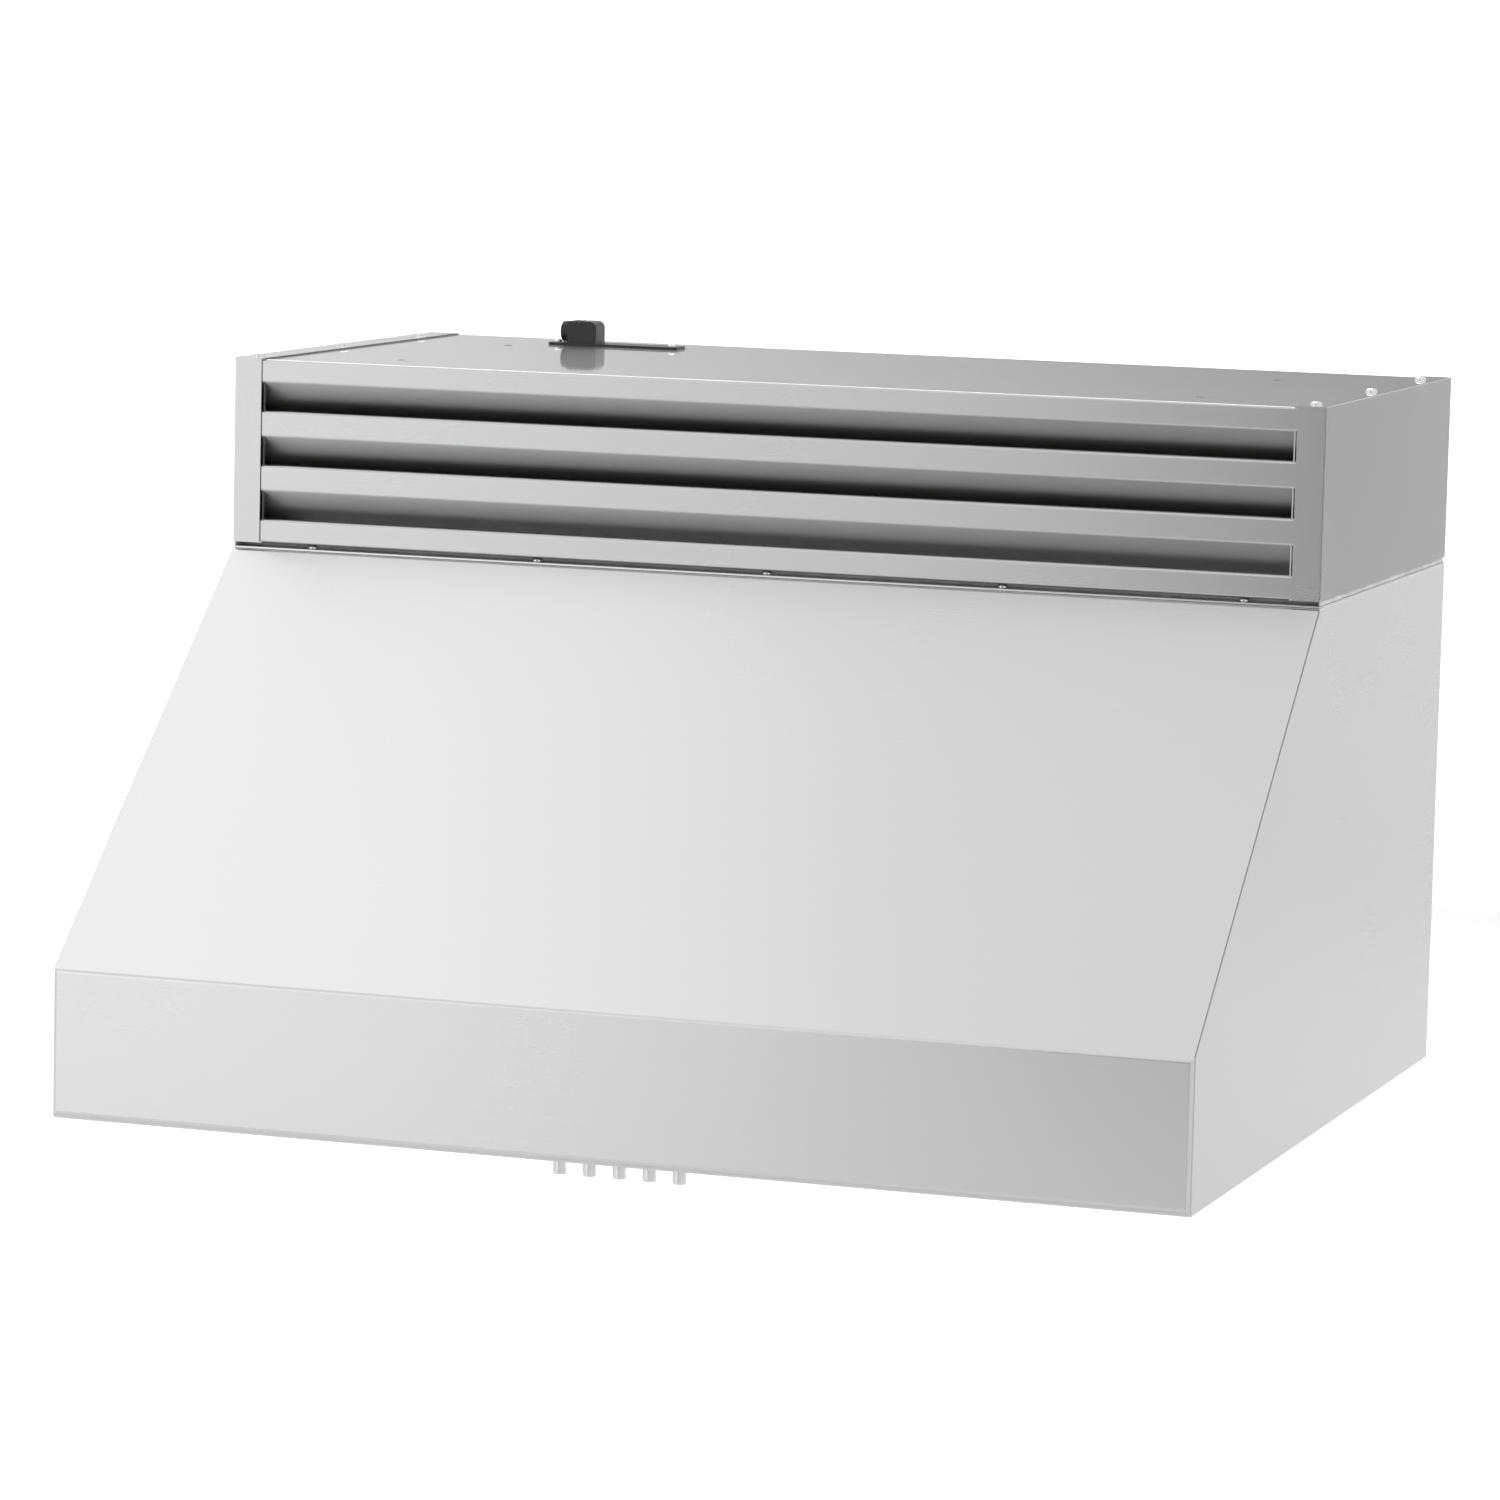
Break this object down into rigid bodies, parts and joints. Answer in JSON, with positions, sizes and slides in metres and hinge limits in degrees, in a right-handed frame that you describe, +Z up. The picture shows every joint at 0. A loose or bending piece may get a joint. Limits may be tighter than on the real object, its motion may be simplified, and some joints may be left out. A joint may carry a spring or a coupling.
{
  "type": "under cabinet range hood",
  "caption": "Stainless steel under-cabinet range hood with a sloped canopy, push buttons, baffle filters, a twin-wheel blower and a louvred recirculating box on top.",
  "frame": {"origin": "midpoint of the two wall screw holes, on the rear face", "axes": "+X to the right as seen from the front, +Y into the wall, +Z up"},
  "size_m": [0.757, 0.635, 0.5029],
  "materials": {
    "canopy_steel": "fine horizontal brush",
    "kit_steel": "fine horizontal brush, satin",
    "galvanised_steel": "dull galvanised sheet",
    "filter_steel": "semi-bright baffles",
    "bright_steel": "plated screws, buttons and bezels",
    "black_plastic": "fine moulded texture",
    "wheel_plastic": "satin moulded",
    "lamp_glass": "frosted",
    "motor_paint": "satin black paint",
    "aluminium": "mill finish",
    "charcoal": "black granule pad",
    "seal_foam": "closed-cell grey foam",
    "magnet": "plain ferrite",
    "capacitor_shell": "plain grey plastic"
  },
  "bodies": {
    "hood": {"button_bezels": "bright_steel", "canopy_back": "canopy_steel", "canopy_deck": "canopy_steel", "canopy_front": "canopy_steel", "canopy_side_left": "canopy_steel", "canopy_side_right": "canopy_steel", "capacitor": "capacitor_shell", "charcoal_filters": "charcoal", "cord_grip": "black_plastic", "cord_nut": "black_plastic", "damper_pins": "bright_steel", "deck_screws": "bright_steel", "filter_divider": "canopy_steel", "filter_pivots": "canopy_steel", "filter_rail_front": "canopy_steel", "gland_plate": "black_plastic", "gland_screws": "bright_steel", "inlet_rings": "galvanised_steel", "junction_box": "galvanised_steel", "kit_back": "kit_steel", "kit_bottom_rail": "kit_steel", "kit_end_left": "kit_steel", "kit_end_right": "kit_steel", "kit_pads": "black_plastic", "kit_screws": "bright_steel", "kit_seal": "seal_foam", "kit_top": "kit_steel", "lamp_bezel_left": "bright_steel", "lamp_bezel_right": "bright_steel", "lamp_bodies": "aluminium", "lamp_lenses": "lamp_glass", "lead_conduit": "black_plastic", "louvre_slat_lower": "kit_steel", "louvre_slat_upper": "kit_steel", "motor_body": "motor_paint", "motor_bracket": "galvanised_steel", "outlet_collar": "galvanised_steel", "scroll_left": "galvanised_steel", "scroll_right": "galvanised_steel", "switch_bodies": "black_plastic", "switch_cover": "galvanised_steel", "tray_bracket": "galvanised_steel", "tray_magnets": "magnet"},
    "filter_left": {"filter_frame_left": "filter_steel", "filter_baffles_left": "filter_steel", "filter_handle_left": "filter_steel"},
    "filter_right": {"filter_frame_right": "filter_steel", "filter_baffles_right": "filter_steel", "filter_handle_right": "filter_steel"},
    "tray": {"grease_tray": "filter_steel"},
    "rotor": {"motor_shaft": "bright_steel", "impeller_left": "wheel_plastic", "impeller_right": "wheel_plastic"},
    "flap_front": {"damper_flap_front": "aluminium"},
    "flap_rear": {"damper_flap_rear": "aluminium"},
    "button_1": {"button_1": "bright_steel"},
    "button_2": {"button_2": "bright_steel"},
    "button_3": {"button_3": "bright_steel"},
    "button_4": {"button_4": "bright_steel"},
    "button_5": {"button_5": "bright_steel"}
  },
  "joints": [
    {"name": "filter_left_hinge", "type": "hinge", "parent": "hood", "child": "filter_left", "pos_m": [0, -0.07, -0.266], "axis": [1, 0, 0], "range_deg": [0, 45]},
    {"name": "filter_right_hinge", "type": "hinge", "parent": "hood", "child": "filter_right", "pos_m": [0, -0.07, -0.266], "axis": [1, 0, 0], "range_deg": [0, 45]},
    {"name": "tray_drop", "type": "slide", "parent": "hood", "child": "tray", "axis": [0, 0, -1], "range_m": [0, 0.035]},
    {"name": "rotor_spin", "type": "hinge", "parent": "hood", "child": "rotor", "pos_m": [0, -0.165, -0.09], "axis": [1, 0, 0], "continuous": true},
    {"name": "flap_front_hinge", "type": "hinge", "parent": "hood", "child": "flap_front", "pos_m": [0, -0.111, 0.062], "axis": [-1, 0, 0], "range_deg": [0, 75]},
    {"name": "flap_rear_hinge", "type": "hinge", "parent": "hood", "child": "flap_rear", "pos_m": [0, -0.104, 0.062], "axis": [1, 0, 0], "range_deg": [0, 75]},
    {"name": "button_1_press", "type": "slide", "parent": "hood", "child": "button_1", "axis": [0, 0, 1], "range_m": [0, 0.003], "stiffness_N_per_m": 250, "springref_m": -0.002},
    {"name": "button_2_press", "type": "slide", "parent": "hood", "child": "button_2", "axis": [0, 0, 1], "range_m": [0, 0.003], "stiffness_N_per_m": 250, "springref_m": -0.002},
    {"name": "button_3_press", "type": "slide", "parent": "hood", "child": "button_3", "axis": [0, 0, 1], "range_m": [0, 0.003], "stiffness_N_per_m": 250, "springref_m": -0.002},
    {"name": "button_4_press", "type": "slide", "parent": "hood", "child": "button_4", "axis": [0, 0, 1], "range_m": [0, 0.003], "stiffness_N_per_m": 250, "springref_m": -0.002},
    {"name": "button_5_press", "type": "slide", "parent": "hood", "child": "button_5", "axis": [0, 0, 1], "range_m": [0, 0.003], "stiffness_N_per_m": 250, "springref_m": -0.002}
  ]
}
